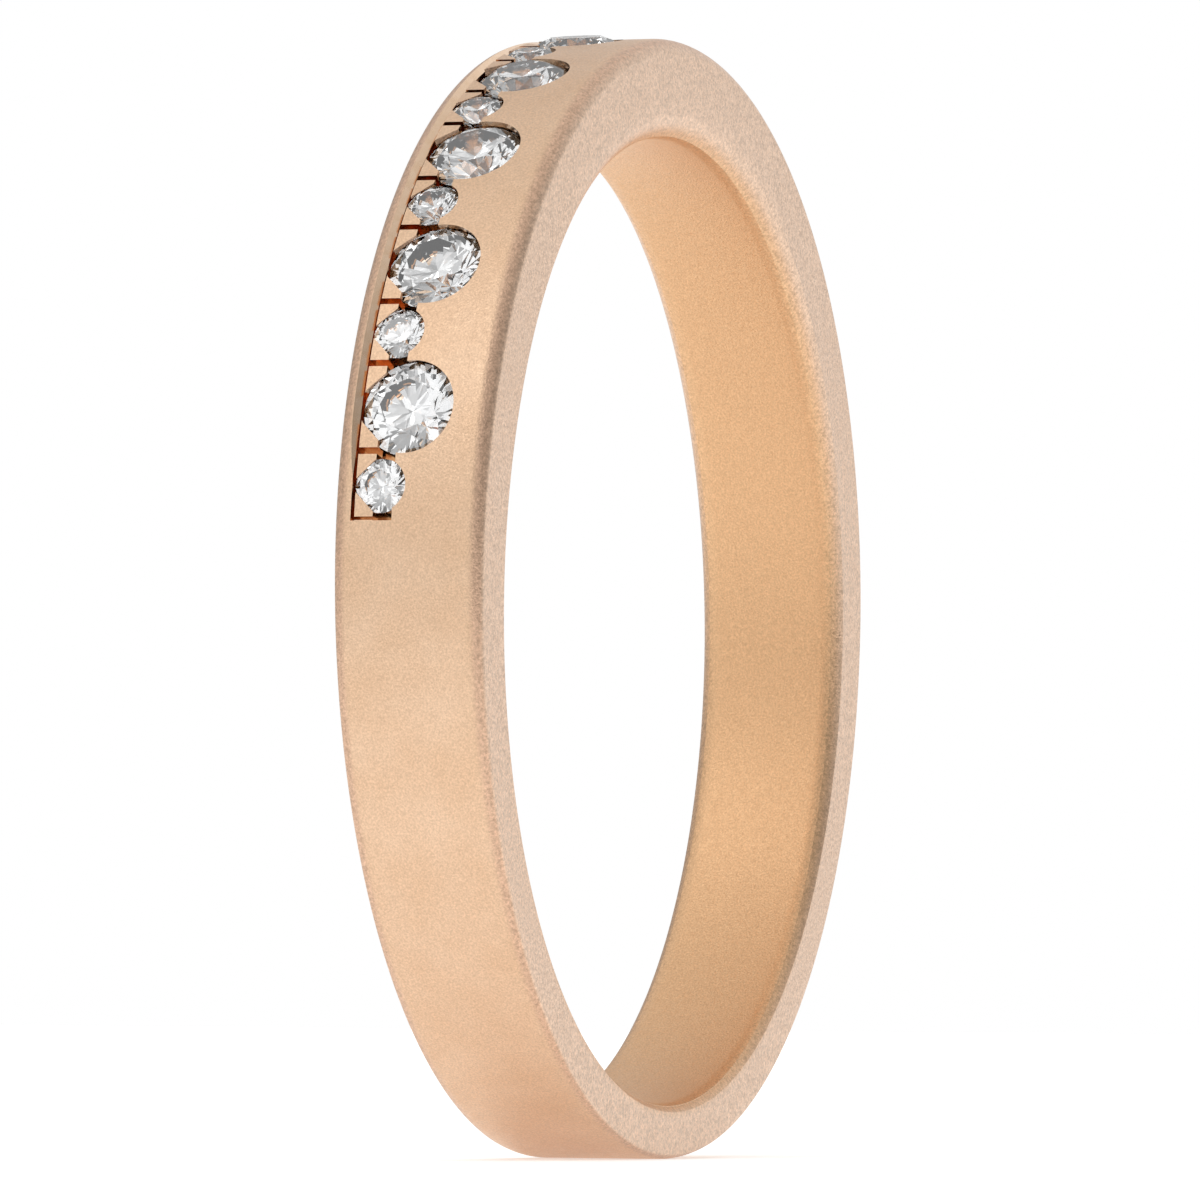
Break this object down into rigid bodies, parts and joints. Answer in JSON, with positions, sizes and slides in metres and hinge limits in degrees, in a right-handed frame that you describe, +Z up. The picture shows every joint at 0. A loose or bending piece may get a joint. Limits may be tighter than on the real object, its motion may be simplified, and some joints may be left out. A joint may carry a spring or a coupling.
{
  "type": "wedding band",
  "caption": "Matte gold finger ring, thicker at the top, half set with alternating large and small round diamonds in an offset scalloped channel.",
  "frame": {"origin": "centre of the finger bore, halfway along its width", "axes": "+Y along the finger axis, towards the edge that the row of stones runs beside; +Z up through the middle of the row, where the band is thickest; +X to the right"},
  "size_m": [0.02, 0.0028, 0.0202],
  "materials": {
    "gold": "fine matte blasted rose gold, bright cut inside the setting",
    "diamond": "polished brilliant-cut facets"
  },
  "bodies": {
    "root": {"band": "gold", "small_diamond_1": "diamond", "large_diamond_1": "diamond", "small_diamond_2": "diamond", "large_diamond_2": "diamond", "small_diamond_3": "diamond", "large_diamond_3": "diamond", "small_diamond_4": "diamond", "large_diamond_4": "diamond", "small_diamond_5": "diamond", "large_diamond_5": "diamond", "small_diamond_6": "diamond", "large_diamond_6": "diamond", "small_diamond_7": "diamond", "large_diamond_7": "diamond", "small_diamond_8": "diamond", "large_diamond_8": "diamond", "small_diamond_9": "diamond", "large_diamond_9": "diamond", "small_diamond_10": "diamond", "large_diamond_10": "diamond", "small_diamond_11": "diamond"}
  },
  "joints": []
}
